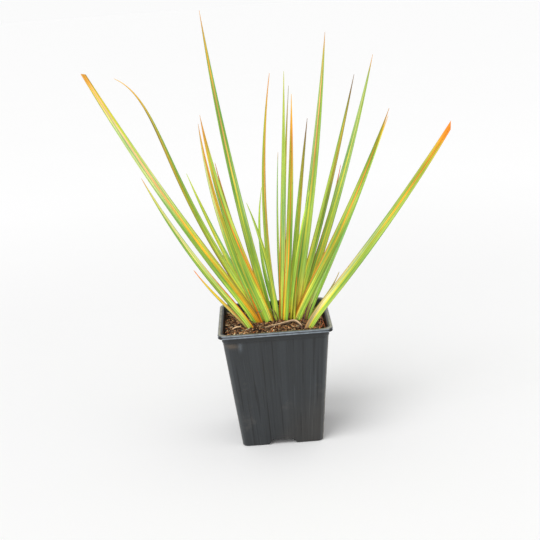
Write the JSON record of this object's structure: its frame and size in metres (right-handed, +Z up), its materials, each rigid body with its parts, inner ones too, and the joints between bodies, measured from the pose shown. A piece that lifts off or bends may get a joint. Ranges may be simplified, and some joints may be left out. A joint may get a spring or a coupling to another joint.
{
  "type": "potted libertia plant",
  "caption": "Young potted libertia: stiff sword-shaped leaves in upright fans, standing in compost in a square, thin-walled nursery pot with a rolled rim.",
  "frame": {"origin": "centre of the pot's flat foot, on the surface that the pot stands on", "axes": "+Z up, +X to the right along the pot's front face, +Y to the back, away from the viewer"},
  "size_m": [0.325, 0.1669, 0.4154],
  "materials": {
    "pot": "thin charcoal blown plastic with a faint satin sheen and fine upright draw lines",
    "soil": "damp brown coir and bark compost with fibres and small chips",
    "dry_leaf": "dried, papery, light brown",
    "leaf_fan_outer_left": "firm satin leaf, yellow-green with orange towards the base",
    "leaf_fan_left": "firm satin leaf, green with a gold and orange midrib stripe",
    "leaf_fan_middle": "firm satin leaf, green with an orange midrib stripe",
    "leaf_fan_right": "firm satin leaf, green with orange midrib stripes and bronze tips",
    "leaf_fan_outer_right": "firm satin leaf, green with a salmon margin low down",
    "leaf_front_right": "firm satin leaf, yellow-green with an orange midrib and tip"
  },
  "bodies": {
    "root": {"pot": "pot", "soil": "soil", "dry_leaf": "dry_leaf", "leaf_fan_outer_left": "leaf_fan_outer_left", "leaf_fan_left": "leaf_fan_left", "leaf_fan_middle": "leaf_fan_middle", "leaf_fan_right": "leaf_fan_right", "leaf_fan_outer_right": "leaf_fan_outer_right", "leaf_front_right": "leaf_front_right"}
  },
  "joints": []
}
